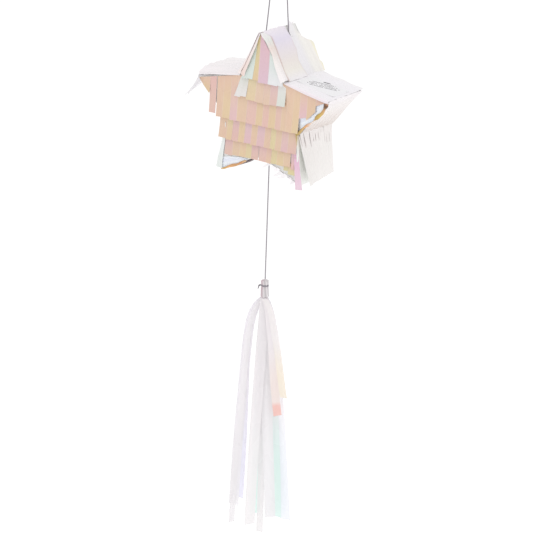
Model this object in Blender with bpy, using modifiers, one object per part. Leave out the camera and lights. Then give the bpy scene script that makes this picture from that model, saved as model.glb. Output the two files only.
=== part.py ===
"""Small pull-string star pinata: a hollow card star dressed in film fringe, hung on a cord loop,
with a trapdoor under one leg, a pull cord knotted to the trapdoor and a long film tassel.

Metres, +Z up, the star's front faces -Y. The origin is the inside of the hanging loop's top.
"""
import math

import bmesh
import bpy
from mathutils import Matrix, Vector

# Driving dimensions of the star
TIP_RADIUS = 0.063
NOTCH_RADIUS = 0.0343
TOP_LEAN = 0.003            # the top tip is pushed this far to the left
DEPTH = 0.047               # outer face of the front panel to outer face of the back panel
CARD = 0.001
FILM = 0.0004               # stand-in thickness of every sheet of film
GAP = 0.0003                # clearance between touching pieces
STAR_CENTRE = Vector((0.004, 0.0, -0.127))

# Cords
CORD_DIAMETER = 0.001
HANG_ROUTE = [              # centreline from the left knot, over the loop, to the right knot
    (0.0011, -0.0127, -0.0746), (-0.00035, -0.01285, -0.0720), (-0.00173, -0.0130, -0.0696),
    (-0.0019, -0.0128, -0.0660), (-0.0018, -0.0109, -0.0520), (-0.0017, -0.0087, -0.0350),
    (-0.0016, -0.0067, -0.0190), (-0.00158, -0.00537, -0.0085), (-0.00152, -0.00518, -0.0040),
    (-0.00107, -0.00365, -0.0011), (0, 0, 0.0005), (0.00107, 0.00365, -0.0011),
    (0.00158, 0.00537, -0.0040), (0.0018, 0.0057, -0.0085), (0.0023, 0.0062, -0.0190),
    (0.0030, 0.0071, -0.0350), (0.0038, 0.0080, -0.0520), (0.0046, 0.0087, -0.0660),
    (0.00468, 0.0088, -0.0696), (0.0034, 0.0087, -0.0720), (0.0023, 0.0086, -0.0746),
]
HANG_HOLES = {"left": Vector((-0.00173, -0.0130, -0.0696)),
              "right": Vector((0.00468, 0.0088, -0.0696))}
HANG_HOLE_RADIUS = 0.0016
STOPPER_RADIUS = 0.0019
TILT_AXIS_Z = -0.0698       # half-way through the card at the two holes

# Trapdoor and pull cord
ANCHOR_REACH = 0.0318       # from the hinge crease to the pull cord's hole, along the flap
ANCHOR_HOLE_RADIUS = 0.0011
ANCHOR_KNOT_RADIUS = 0.0016
TASSEL_TOP = -0.271
HEAD_RADIUS = 0.0031
HEAD_LENGTH = 0.0135

# Film fringe
FRINGE_OUTLINES = {         # X and Z on the front face, from the star's centre, in millimetres
    "fringe_row_1": [(-3.0, 61.0), (19.0, 28.8), (21.5, 26.0), (-16.0, 26.0), (-18.4, 29.0)],
    "fringe_row_2": [(-15.4, 25.7), (21.5, 25.7), (23.0, 9.5), (-25.0, 9.5)],
    "fringe_row_3": [(-58.3, 18.9), (-20.6, 26.6), (-16.9, 25.4), (-25.8, 9.1), (23.4, 9.1),
                     (22.2, 26.4), (56.5, 18.8), (37.0, -2.5), (34.2, -8.5), (-49.0, -8.5),
                     (-49.0, 7.2), (-58.3, 17.9)],
    "fringe_row_4": [(-36.0, -8.9), (33.8, -8.9), (33.0, -25.0), (-40.0, -25.0)],
    "fringe_row_5": [(-34.0, -25.4), (28.5, -25.4), (28.5, -39.0), (-34.0, -39.0)],
    "fringe_row_6": [(29.0, -25.4), (33.2, -25.4), (38.8, -55.0), (32.6, -55.0), (32.2, -47.6),
                     (26.0, -45.0), (19.0, -43.0), (18.0, -39.4), (29.0, -39.4)],
}
TIP_FILM_OUTLINES = {
    "arm_tip_film": [(57.5, 18.8), (59.2, 18.7), (36.2, -6.6), (37.7, -2.8)],
    "leg_tip_film": [(-35.4, -39.4), (-12.4, -39.4), (-36.4, -50.2)],
}
SLOPE_SLOT = 0.0028         # half the width left free round a hanging cord
STICKER_LENGTH = 0.034
STICKER_WIDTH = 0.022
STICKER_START = 0.004       # from the notch, along the right arm's top wall

# Tassel: each strip's end, from the tassel's top: across, down (mm), in order of depth
STRIP_WIDTH = 0.0076
STRIP_PITCH = FILM + GAP
TASSEL_YAW = math.radians(33)   # the strips face this way round from the star's front
STRIP_TOP = 0.0146
STRIP_SEGMENTS = 8
STRIP_ENDS = [
    (-12.0, 178), (-21.5, 212), (24.0, 207), (-6.5, 209), (16.5, 205), (9.0, 203),
    (-1.5, 218), (-20.5, 198), (21.0, 202), (13.0, 114), (19.0, 96), (-8.5, 208),
]
STRIP_DEPTH_SPREAD = 1.9    # how much further apart the strips are at their ends, in depth

MM = 0.001


# ---------------------------------------------------------------- materials and collections
def make_material(name, color, roughness, metallic=0.0):
    material = bpy.data.materials.new(name)
    material.use_nodes = True
    shader = material.node_tree.nodes["Principled BSDF"]
    shader.inputs["Base Color"].default_value = (*color, 1.0)
    shader.inputs["Roughness"].default_value = roughness
    shader.inputs["Metallic"].default_value = metallic
    return material


def make_materials():
    return {
        "card": make_material("white_card", (0.86, 0.85, 0.84), 0.6),
        "front_film": make_material("peach_film", (0.80, 0.58, 0.45), 0.25),
        "side_film": make_material("white_film", (0.85, 0.82, 0.84), 0.2),
        "tip_film": make_material("silver_film", (0.75, 0.76, 0.86), 0.15, 0.6),
        "tassel_film": make_material("tassel_film", (0.80, 0.78, 0.79), 0.25),
        "cord": make_material("silver_cord", (0.30, 0.28, 0.29), 0.4, 0.5),
        "sticker": make_material("sticker_paper", (0.88, 0.88, 0.88), 0.5),
    }


def link_only(obj, collection):
    for old in list(obj.users_collection):
        old.objects.unlink(obj)
    collection.objects.link(obj)


def make_empty(name, location):
    empty = bpy.data.objects.new(name, None)
    empty.empty_display_size = 0.01
    empty.location = location
    PART.objects.link(empty)
    return empty


def attach(child, parent):
    """Parent without moving the child."""
    bpy.context.view_layer.update()
    child.parent = parent
    child.matrix_parent_inverse = parent.matrix_world.inverted()


def finish_node(obj, slot, parent):
    """Give a node its material, its collection and the empty that it moves with."""
    obj.data.materials.clear()
    obj.data.materials.append(MATERIALS[slot])
    link_only(obj, PART)
    attach(obj, parent)
    return obj


# ---------------------------------------------------------------- star geometry in the X-Z plane
def corner(name):
    """T0..T4 are the tips and N0..N4 the notches, clockwise from the top, seen from the front."""
    index = int(name[1])
    if name[0] == "T":
        angle, radius = math.radians(90 - 72 * index), TIP_RADIUS
    else:
        angle, radius = math.radians(54 - 72 * index), NOTCH_RADIUS
    point = Vector((radius * math.cos(angle), radius * math.sin(angle)))
    if name == "T0":
        point.x -= TOP_LEAN
    return point


EDGE_DISTANCE = (TIP_RADIUS * NOTCH_RADIUS * math.sin(math.radians(36))
                 / (corner("T1") - corner("N1")).length)
INNER_SCALE = (EDGE_DISTANCE - CARD) / EDGE_DISTANCE


def wall_axes(start, end):
    """A wall's first corner, direction, outward normal and length."""
    first, last = corner(start), corner(end)
    direction = (last - first).normalized()
    normal = Vector((direction.y, -direction.x))
    if normal.dot(first + last) < 0:
        normal = -normal
    return first, direction, normal, (last - first).length


def wall_point(start, end, along, outward):
    first, direction, normal, _ = wall_axes(start, end)
    return first + direction * along + normal * outward


def to_world(point, y=0.0):
    """A point of the star's X-Z plane, in the object's frame."""
    return STAR_CENTRE + Vector((point[0], y, point[1]))


def band_outline(names):
    """A folded strip of card along the named corners: outer face out, inner face back."""
    outer = [corner(name) for name in names]
    inner = [point * INNER_SCALE for point in outer]
    for line in (outer, inner):
        line[0] = line[0] + (line[1] - line[0]).normalized() * GAP
        line[-1] = line[-1] + (line[-2] - line[-1]).normalized() * GAP
    return outer + inner[::-1]


def film_outline(start, end, along, lift):
    """A sheet of film on a wall, between two distances along it, lifted at each end."""
    base = [wall_point(start, end, a, GAP + h) for a, h in zip(along, lift)]
    top = [wall_point(start, end, a, GAP + FILM + h) for a, h in zip(along, lift)]
    return base + top[::-1]


# ---------------------------------------------------------------- builders
def plate(name, outline, y_low, y_high, slot, parent):
    """A flat outline standing in the X-Z plane, as thick as the y range."""
    curve = bpy.data.curves.new(name, "CURVE")
    curve.dimensions = "2D"
    curve.fill_mode = "BOTH"
    curve.extrude = (y_high - y_low) / 2
    spline = curve.splines.new("POLY")
    spline.points.add(len(outline) - 1)
    for point, (x, z) in zip(spline.points, outline):
        point.co = (x, z, 0.0, 1.0)
    spline.use_cyclic_u = True
    obj = bpy.data.objects.new(name, curve)
    obj.location = to_world((0, 0), (y_low + y_high) / 2)
    obj.rotation_euler = (math.radians(90), 0, 0)
    return finish_node(obj, slot, parent)


def curve_to_mesh(obj, slot, parent):
    """Replace a curve object with its welded mesh, in the same place."""
    bpy.context.view_layer.update()
    evaluated = obj.evaluated_get(bpy.context.evaluated_depsgraph_get())
    mesh = bpy.data.meshes.new_from_object(evaluated)
    name, matrix = obj.name, obj.matrix_world.copy()
    bpy.data.objects.remove(obj)
    solid = bmesh.new()
    solid.from_mesh(mesh)
    bmesh.ops.remove_doubles(solid, verts=solid.verts, dist=1e-6)
    solid.to_mesh(mesh)
    solid.free()
    result = bpy.data.objects.new(name, mesh)
    result.matrix_world = matrix
    return finish_node(result, slot, parent)


def cylinder_cutter(name, centre, axis, radius, length):
    """A round punch through the card."""
    solid = bmesh.new()
    bmesh.ops.create_cone(solid, cap_ends=True, segments=16, radius1=radius, radius2=radius,
                          depth=length)
    mesh = bpy.data.meshes.new(name)
    solid.to_mesh(mesh)
    solid.free()
    obj = bpy.data.objects.new(name, mesh)
    obj.location = centre
    obj.rotation_mode = "QUATERNION"
    obj.rotation_quaternion = Vector((0, 0, 1)).rotation_difference(axis)
    obj.hide_render = True
    obj.display_type = "WIRE"
    CUTTERS.objects.link(obj)
    return obj


def cut(obj, cutter, operation="DIFFERENCE"):
    boolean = obj.modifiers.new("punch", "BOOLEAN")
    boolean.operation = operation
    boolean.object = cutter


def ball(name, centre, radius, slot, parent):
    """A knot pulled tight."""
    solid = bmesh.new()
    bmesh.ops.create_uvsphere(solid, u_segments=12, v_segments=8, radius=radius)
    mesh = bpy.data.meshes.new(name)
    solid.to_mesh(mesh)
    solid.free()
    mesh.shade_smooth()
    obj = bpy.data.objects.new(name, mesh)
    obj.location = centre
    return finish_node(obj, slot, parent)


def smooth_route(points, count):
    """Evenly spaced points on a Catmull-Rom curve through the route's own points."""
    route = [Vector(point) for point in points]
    ends = [2 * route[0] - route[1], *route, 2 * route[-1] - route[-2]]
    fine = []
    for a, b, c, d in zip(ends, ends[1:], ends[2:], ends[3:]):
        for step in range(20):
            t = step / 20
            fine.append(0.5 * (2 * b + (c - a) * t + (2 * a - 5 * b + 4 * c - d) * t * t
                               + (3 * b - a - 3 * c + d) * t ** 3))
    fine.append(route[-1])
    travelled = [0.0]
    for a, b in zip(fine, fine[1:]):
        travelled.append(travelled[-1] + (b - a).length)
    result, index = [], 0
    for step in range(count):
        target = travelled[-1] * step / (count - 1)
        while index < len(fine) - 2 and travelled[index + 1] < target:
            index += 1
        share = (target - travelled[index]) / (travelled[index + 1] - travelled[index])
        result.append(fine[index].lerp(fine[index + 1], share))
    return result


def cord(name, route, count, origin, parent):
    """A round cord as a tube with filled ends, its object's origin at the given point."""
    curve = bpy.data.curves.new(name, "CURVE")
    curve.dimensions = "3D"
    curve.bevel_depth = CORD_DIAMETER / 2
    curve.bevel_resolution = 2
    curve.use_fill_caps = True
    spline = curve.splines.new("POLY")
    spline.points.add(count - 1)
    for point, place in zip(spline.points, smooth_route(route, count)):
        point.co = (*(place - origin), 1.0)
    obj = bpy.data.objects.new(name, curve)
    obj.location = origin
    return finish_node(obj, "cord", parent)


# ---------------------------------------------------------------- the star
def build_panels(star):
    outline = [corner(letter + str(index)) for index in range(5) for letter in "TN"]
    half = DEPTH / 2
    plate("front_panel", outline, -half, -half + CARD, "card", star)
    plate("back_panel", outline, half - CARD, half, "card", star)


def build_bands(star):
    """Two folded strips make the side walls; each has the punched hole of one cord strand."""
    inside = DEPTH / 2 - CARD - GAP
    runs = {
        "left": ("T3", "N3", "T4", "N4", "T0"),
        "right": ("T0", "N0", "T1", "N1", "T2", "N2"),
    }
    for side, names in runs.items():
        band = plate(f"side_band_{side}", band_outline(names), -inside, inside, "card", star)
        band = curve_to_mesh(band, "card", star)
        punch = cylinder_cutter(f"hang_hole_{side}", HANG_HOLES[side], Vector((0, 0, 1)),
                                HANG_HOLE_RADIUS, 0.012)
        cut(band, punch)


def build_fringe(star):
    """Rows of fringe on the front, and the same rows on the back."""
    near = DEPTH / 2 + GAP
    for name, outline in FRINGE_OUTLINES.items():
        points = [(x * MM, z * MM) for x, z in outline]
        plate(f"front_{name}", points, -near - FILM, -near, "front_film", star)
        plate(f"back_{name}", points, near, near + FILM, "front_film", star)
    for name, outline in TIP_FILM_OUTLINES.items():
        points = [(x * MM, z * MM) for x, z in outline]
        plate(f"front_{name}", points, -near - FILM, -near, "tip_film", star)


def build_side_films(star):
    """Film on each outer wall; the two top slopes leave a slot for the hanging cords."""
    half = DEPTH / 2 - GAP
    for side, walls in (("left", ("T0", "N4")), ("right", ("T0", "N0"))):
        length, strand = wall_axes(*walls)[3], HANG_HOLES[side].y
        outline = film_outline(*walls, (0.001, length - 0.001), (0, 0))
        plate(f"slope_film_{side}_front", outline, -half, strand - SLOPE_SLOT, "side_film", star)
        plate(f"slope_film_{side}_back", outline, strand + SLOPE_SLOT, half, "side_film", star)
    sheets = {              # wall, how far it stops short of each end, lift at each end
        "right_arm_top_film": ("N0", "T1", 0.001, 0.0, 0, 0),
        "right_arm_lower_film": ("N1", "T1", 0.0025, 0.001, 0, 0.001),
        "right_leg_outer_film": ("N1", "T2", 0.001, -0.004, 0, 0.006),
        "right_leg_inner_film": ("N2", "T2", 0.002, 0.001, 0, 0.002),
        "left_leg_outer_film": ("N3", "T3", 0.001, 0.001, 0, 0),
        "left_arm_lower_film": ("N3", "T4", 0.002, 0.001, 0, 0),
        "left_arm_top_film": ("N4", "T4", 0.001, 0.001, 0, 0.001),
    }
    for name, (start, end, short_a, short_b, lift_a, lift_b) in sheets.items():
        length = wall_axes(start, end)[3]
        outline = film_outline(start, end, (short_a, length - short_b), (lift_a, lift_b))
        plate(name, outline, -half, half, "side_film", star)


def build_tip_strip(star):
    """A torn strip of film that hangs off the left tip."""
    tip = corner("T4")
    top, end = tip + Vector((-0.0007, -0.0009)), tip + Vector((-0.0135, -0.0168))
    across = Vector((end.y - top.y, top.x - end.x)).normalized() * FILM
    plate("left_tip_strip", [top, end, end + across, top + across], -0.022, -0.008,
          "side_film", star)


def build_sticker(star):
    low = 2 * GAP + FILM
    outline = [wall_point("N0", "T1", STICKER_START + along, low + height)
               for along, height in ((0, 0), (STICKER_LENGTH, 0), (STICKER_LENGTH, FILM / 2),
                                     (0, FILM / 2))]
    plate("label_sticker", outline, -STICKER_WIDTH / 2 - 0.002, STICKER_WIDTH / 2 - 0.002,
          "sticker", star)


# ---------------------------------------------------------------- trapdoor and pull cord
def anchor_points():
    """The pull cord's hole on the flap's outer face, and the flap's outward normal."""
    _, _, normal, _ = wall_axes("T3", "N2")
    hole = to_world(wall_point("T3", "N2", ANCHOR_REACH, 0))
    return hole, Vector((normal.x, 0, normal.y))


def build_trapdoor(door):
    inside = DEPTH / 2 - CARD - GAP
    hole, outward = anchor_points()
    flap = plate("trapdoor_flap", band_outline(("T3", "N2")), -inside, inside, "card", door)
    flap = curve_to_mesh(flap, "card", door)
    cut(flap, cylinder_cutter("anchor_hole", hole, outward, ANCHOR_HOLE_RADIUS, 0.006))

    length = wall_axes("T3", "N2")[3]
    outline = film_outline("T3", "N2", (0.003, length - 0.002), (0, 0))
    film = plate("trapdoor_film", outline, -inside, inside, "side_film", door)
    film = curve_to_mesh(film, "side_film", door)
    cut(film, cylinder_cutter("film_hole", hole, outward, 2 * ANCHOR_KNOT_RADIUS, 0.006))

    centre = hole - outward * (CARD + GAP + ANCHOR_KNOT_RADIUS)
    stopper = ball("anchor_stopper", centre, ANCHOR_KNOT_RADIUS, "cord", door)
    neck_length = CARD + 2 * GAP + ANCHOR_KNOT_RADIUS
    neck = cylinder_cutter("stopper_neck", centre + outward * neck_length / 2, outward,
                           CORD_DIAMETER / 2, neck_length)
    cut(stopper, neck, "UNION")


def build_pull_cord(knot_pivot, swing):
    pivot = knot_centre()
    ball("anchor_knot", pivot, ANCHOR_KNOT_RADIUS, "cord", knot_pivot)
    top = pivot.z - ANCHOR_KNOT_RADIUS - GAP
    bottom = TASSEL_TOP + 2 * GAP
    middle = (top + bottom) / 2
    route = [(pivot.x, 0, z) for z in (top, middle, bottom)]
    cord("pull_cord", route, 40, pivot, swing)


def knot_centre():
    hole, outward = anchor_points()
    return hole + outward * (GAP + ANCHOR_KNOT_RADIUS)


# ---------------------------------------------------------------- tassel
def build_head(tassel, pivot):
    """The rolled head of the film strips: a turned, round-shouldered plug."""
    profile = [(0.0, 0.0), (0.4, -0.0002), (0.85, -0.0012), (1.0, -0.003), (0.86, -0.0045),
               (1.0, -0.006), (1.05, -HEAD_LENGTH + 0.001), (0.95, -HEAD_LENGTH), (0.0, -HEAD_LENGTH)]
    solid = bmesh.new()
    verts = [solid.verts.new((share * HEAD_RADIUS, 0, z)) for share, z in profile]
    for a, b in zip(verts, verts[1:]):
        solid.edges.new((a, b))
    mesh = bpy.data.meshes.new("tassel_head")
    solid.to_mesh(mesh)
    solid.free()
    obj = bpy.data.objects.new("tassel_head", mesh)
    obj.location = pivot
    screw = obj.modifiers.new("turn", "SCREW")
    screw.steps = screw.render_steps = 20
    screw.use_merge_vertices = True
    screw.merge_threshold = 1e-5
    finish_node(obj, "tassel_film", tassel)


def build_wrap(tassel, pivot):
    """The pull cord's end, wound round the head's neck and tied at its side."""
    ring_radius = 0.86 * HEAD_RADIUS + GAP + CORD_DIAMETER / 2
    bpy.ops.mesh.primitive_torus_add(major_radius=ring_radius + GAP, minor_radius=CORD_DIAMETER / 2,
                                     major_segments=24, minor_segments=8,
                                     location=pivot + Vector((0, 0, -0.0045)))
    ring = bpy.context.object
    ring.name = "tassel_wrap"
    finish_node(ring, "cord", tassel)
    side = Vector((-math.cos(TASSEL_YAW), -math.sin(TASSEL_YAW), 0))
    knot_radius = 0.0011
    reach = ring_radius + 2 * GAP + CORD_DIAMETER / 2 + knot_radius
    ball("tassel_tie_knot", pivot + side * reach + Vector((0, 0, -0.0045)), knot_radius,
         "cord", tassel)


def build_strip(tassel, pivot, index, end_across, end_down):
    """A flat strip of film that leaves the head's underside and spreads towards its end.

    Its distance from the tassel's axis grows with the square root of the length travelled.
    """
    name = f"tassel_strip_{index + 1:02d}"
    layer = (index - (len(STRIP_ENDS) - 1) / 2) * STRIP_PITCH
    down = end_down * MM - STRIP_TOP
    longest = max(row[1] for row in STRIP_ENDS) * MM - STRIP_TOP
    turn = Matrix.Rotation(TASSEL_YAW, 3, "Z")
    solid = bmesh.new()
    bmesh.ops.create_grid(solid, x_segments=1, y_segments=STRIP_SEGMENTS, size=0.5)
    for vert in solid.verts:
        travelled = 0.5 - vert.co.y
        spread = math.sqrt(travelled)
        across = end_across * MM * spread + vert.co.x * STRIP_WIDTH * (0.8 + 0.2 * spread)
        depth = layer * (1 + STRIP_DEPTH_SPREAD * math.sqrt(travelled * down / longest))
        vert.co = turn @ Vector((across, depth, -STRIP_TOP - down * travelled))
    mesh = bpy.data.meshes.new(name)
    solid.to_mesh(mesh)
    solid.free()
    obj = bpy.data.objects.new(name, mesh)
    obj.location = pivot
    shell = obj.modifiers.new("thickness", "SOLIDIFY")
    shell.thickness = FILM
    shell.offset = 0
    finish_node(obj, "tassel_film", tassel)


def build_tassel(tassel, pivot):
    build_head(tassel, pivot)
    build_wrap(tassel, pivot)
    for index, (across, down) in enumerate(STRIP_ENDS):
        build_strip(tassel, pivot, index, across, down)


# ---------------------------------------------------------------- assembly
for old_object in list(bpy.data.objects):
    bpy.data.objects.remove(old_object)
PART = bpy.data.collections.new("star_pinata")
CUTTERS = bpy.data.collections.new("cutters")
for new_collection in (PART, CUTTERS):
    bpy.context.scene.collection.children.link(new_collection)
MATERIALS = make_materials()


def main():
    knot = knot_centre()
    tassel_pivot = Vector((knot.x, 0, TASSEL_TOP))
    hanger = make_empty("hanging_point", (0, 0, 0))
    middle = (HANG_HOLES["left"] + HANG_HOLES["right"]) / 2
    tilt = make_empty("star_tilt_axis", (middle.x, middle.y, TILT_AXIS_Z))
    hinge = make_empty("trapdoor_crease", to_world(corner("T3")))
    plumb = make_empty("knot_axis", knot)
    swing = make_empty("pull_cord_swing_axis", knot)
    tassel = make_empty("tassel_axis", tassel_pivot)
    for child, parent in ((tilt, hanger), (hinge, tilt), (plumb, hinge), (swing, plumb),
                          (tassel, swing)):
        attach(child, parent)

    cord("hanging_cord", HANG_ROUTE, 80, Vector((0, 0, 0)), hanger)
    for side, end in (("left", HANG_ROUTE[0]), ("right", HANG_ROUTE[-1])):
        centre = Vector(end) - Vector((0, 0, STOPPER_RADIUS + GAP))
        ball(f"hanging_stopper_{side}", centre, STOPPER_RADIUS, "cord", hanger)
    build_panels(tilt)
    build_bands(tilt)
    build_fringe(tilt)
    build_side_films(tilt)
    build_tip_strip(tilt)
    build_sticker(tilt)
    build_trapdoor(hinge)
    build_pull_cord(plumb, swing)
    build_tassel(tassel, tassel_pivot)


main()
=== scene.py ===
"""Looks of the small star pinata: camera, light, cords, knots, film, sticker, tassel and finishes.

Metres, +Z up, the star's front faces -Y, and the origin is the inside of the hanging loop's top.
Shapes on the star are worked out in millimetres from its centre: X to the right, Y back, Z up.
"""
import math

import bmesh
import bpy
import numpy as np
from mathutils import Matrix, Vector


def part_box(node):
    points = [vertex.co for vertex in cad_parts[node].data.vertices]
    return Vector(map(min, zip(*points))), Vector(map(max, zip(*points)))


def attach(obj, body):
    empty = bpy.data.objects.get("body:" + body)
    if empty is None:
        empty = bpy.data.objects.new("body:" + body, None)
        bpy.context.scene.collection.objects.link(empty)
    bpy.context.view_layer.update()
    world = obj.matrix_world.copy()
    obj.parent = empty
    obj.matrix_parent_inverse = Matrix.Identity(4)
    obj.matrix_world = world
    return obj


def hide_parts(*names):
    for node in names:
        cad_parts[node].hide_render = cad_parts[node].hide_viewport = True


MM = 0.001
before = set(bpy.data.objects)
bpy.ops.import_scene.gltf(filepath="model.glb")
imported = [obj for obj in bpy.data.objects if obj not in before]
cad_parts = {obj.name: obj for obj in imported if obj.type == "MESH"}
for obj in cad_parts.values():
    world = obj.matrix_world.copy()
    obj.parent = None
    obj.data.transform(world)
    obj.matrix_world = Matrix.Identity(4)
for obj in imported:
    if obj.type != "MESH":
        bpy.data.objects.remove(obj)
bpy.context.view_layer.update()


def node_box(name):
    """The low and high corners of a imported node."""
    return [np.array(point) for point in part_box(name)]


# ---------------------------------------------------------------- the star's sizes
panel_low, panel_high = node_box("front_panel")
back_high = node_box("back_panel")[1]
TIP_RADIUS = (panel_high[0] - panel_low[0]) / 2 / math.cos(math.radians(18)) / MM
HALF_DEPTH = (back_high[1] - panel_low[1]) / 2 / MM
STAR_CENTRE = np.array([(panel_low[0] + panel_high[0]) / 2, 0.0, panel_high[2] - TIP_RADIUS * MM])
NOTCH_RADIUS = 34.3
TOP_LEAN = 3.0              # the top tip leans this far to the left
WALL_LENGTH = 40.6          # about the length of each wall
FILM_THICKNESS = 0.06
TASSEL_CUT = 7.6            # the width that each strip of the tassel is cut to

# Cords, in metres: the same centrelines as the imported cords
CORD_DIAMETER = 0.001
HANG_ROUTE = [
    (0.0011, -0.0127, -0.0746), (-0.00035, -0.01285, -0.0720), (-0.00173, -0.0130, -0.0696),
    (-0.0019, -0.0128, -0.0660), (-0.0018, -0.0109, -0.0520), (-0.0017, -0.0087, -0.0350),
    (-0.0016, -0.0067, -0.0190), (-0.00158, -0.00537, -0.0085), (-0.00152, -0.00518, -0.0040),
    (-0.00107, -0.00365, -0.0011), (0, 0, 0.0005), (0.00107, 0.00365, -0.0011),
    (0.00158, 0.00537, -0.0040), (0.0018, 0.0057, -0.0085), (0.0023, 0.0062, -0.0190),
    (0.0030, 0.0071, -0.0350), (0.0038, 0.0080, -0.0520), (0.0046, 0.0087, -0.0660),
    (0.00468, 0.0088, -0.0696), (0.0034, 0.0087, -0.0720), (0.0023, 0.0086, -0.0746),
]
TASSEL_YAW = math.radians(33)
SLOT_LEFT = -13.0           # depth of the left hanging strand, where its film is slit

# Film colours in soft white light, 0 to 255
PEACH, PINK, ROSE = (236, 203, 176), (235, 196, 204), (237, 197, 189)
LIME, MINT = (231, 219, 168), (228, 238, 232)
WHITE, LAVENDER = (246, 246, 248), (232, 200, 212)
APRICOT, PALE_MINT, MILK = (237, 210, 168), (222, 230, 218), (247, 243, 246)
random = np.random.default_rng(11)


def linear(colour):
    """A screen colour from 0 to 255 as linear light."""
    share = np.asarray(colour, float) / 255
    return np.where(share <= 0.04045, share / 12.92, ((share + 0.055) / 1.055) ** 2.4)


# ---------------------------------------------------------------- camera, light and floor
def build_camera():
    """A long lens two metres off, turned to the star's right and a little above it."""
    azimuth, elevation, roll = (math.radians(angle) for angle in (33.17, 18.29, 2.0))
    target, distance, lens = np.array([-0.0024, 0.0, -0.2593]), 2.0, 169.2
    across = np.array([math.cos(azimuth), math.sin(azimuth), 0.0])
    back = np.array([math.sin(azimuth) * math.cos(elevation),
                     -math.cos(azimuth) * math.cos(elevation), math.sin(elevation)])
    upright = np.cross(back, across)
    right = math.cos(roll) * across + math.sin(roll) * upright
    up = math.cos(roll) * upright - math.sin(roll) * across
    matrix = np.eye(4)
    matrix[:3, 0], matrix[:3, 1], matrix[:3, 2] = right, up, back
    matrix[:3, 3] = target + distance * back
    data = bpy.data.cameras.new("camera")
    data.lens, data.sensor_width = lens, 36.0
    data.clip_start, data.clip_end = 0.05, 100.0
    camera = bpy.data.objects.new("camera", data)
    camera.matrix_world = Matrix(matrix.tolist())
    bpy.context.scene.collection.objects.link(camera)
    bpy.context.scene.camera = camera


def build_light():
    """White surroundings, a broad soft lamp up on the left and a weaker one on the right."""
    scene = bpy.context.scene
    scene.view_settings.view_transform = "Standard"
    world = bpy.data.worlds.new("white_room")
    scene.world = world
    world.use_nodes = True
    sky = world.node_tree.nodes["Background"]
    sky.inputs["Color"].default_value = (1.0, 1.0, 1.0, 1.0)
    sky.inputs["Strength"].default_value = 0.76
    middle = np.array([0.0, 0.0, -0.15])
    lamps = {"key": ((-1.0, -0.5, 1.6), 1.2, 7.0), "fill": ((1.5, 0.2, 1.2), 1.5, 4.2)}
    for name, (place, size, power) in lamps.items():
        data = bpy.data.lights.new(name, "AREA")
        data.shape, data.size, data.energy = "DISK", size, power
        lamp = bpy.data.objects.new(name, data)
        lamp.location = place
        direction = Vector(middle - np.array(place))
        lamp.rotation_euler = direction.to_track_quat("-Z", "Y").to_euler()
        scene.collection.objects.link(lamp)


def build_floor():
    """A round white floor well below the tassel, lit so that it stays even."""
    level, sides, rings = -1.5, 64, (0.0, 1.0, 6.0, 40.0)
    angle = np.linspace(0, 2 * math.pi, sides, endpoint=False)
    radius = np.array(rings)[:, None]
    points = np.stack([radius * np.cos(angle), radius * np.sin(angle),
                       np.full((len(rings), sides), level)], -1)
    mesh = bpy.data.meshes.new("floor")
    mesh.from_pydata(points.reshape(-1, 3).tolist(), [],
                     grid_faces(len(rings), sides, wrap_columns=True).tolist())
    floor = bpy.data.objects.new("floor", mesh)
    bpy.context.scene.collection.objects.link(floor)
    material, sheet, shader = new_material("floor_paint")
    sheet.feed(shader, {"Base Color": (0.9, 0.9, 0.9, 1.0), "Roughness": 0.9,
                        "Emission Color": (1.0, 1.0, 1.0, 1.0), "Emission Strength": 0.38})
    mesh.materials.append(material)


# ---------------------------------------------------------------- node helpers and shared effects
class NodeSheet:
    """Short ways to add and join nodes in one tree."""

    def __init__(self, tree):
        self.tree = tree

    def feed(self, node, inputs):
        """Join each of a node's inputs to a socket, or give it a value."""
        for key, value in inputs.items():
            if isinstance(value, bpy.types.NodeSocket):
                self.tree.links.new(value, node.inputs[key])
            else:
                node.inputs[key].default_value = value

    def add(self, kind, inputs=(), **settings):
        node = self.tree.nodes.new("ShaderNode" + kind)
        for key, value in settings.items():
            setattr(node, key, value)
        self.feed(node, dict(inputs))
        return node

    def math(self, operation, first, second=0.0, third=0.0):
        return self.add("Math", {0: first, 1: second, 2: third}, operation=operation).outputs[0]

    def blend(self, factor, first, second):
        return self.add("Mix", {0: factor, 6: first, 7: second}, data_type="RGBA").outputs[2]

    def noise(self, place, scale, detail=2.0, **more):
        """Noise over a place, finer by one scale, or by one for each axis."""
        if isinstance(scale, tuple):
            place = self.add("Mapping", {"Vector": place, "Scale": scale}).outputs[0]
            scale = 1.0
        return self.add("TexNoise", {"Vector": place, "Scale": scale, "Detail": detail,
                                     **more}).outputs[0]

    def span(self, value, low, high, new_low, new_high):
        """The value, held between two ends and stretched to two others."""
        return self.add("MapRange", {"Value": value, "From Min": low, "From Max": high,
                                     "To Min": new_low, "To Max": new_high}).outputs[0]

    def bump(self, height, strength, distance):
        return self.add("Bump", {"Strength": strength, "Distance": distance,
                                 "Height": height}).outputs[0]

    def around(self, noise, share, middle):
        """The middle value, moved up and down by a share of the noise."""
        return self.math("MULTIPLY_ADD", self.math("SUBTRACT", noise, 0.5), share, middle)


def new_material(name):
    material = bpy.data.materials.new(name)
    material.use_nodes = True
    return material, NodeSheet(material.node_tree), material.node_tree.nodes["Principled BSDF"]


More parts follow.
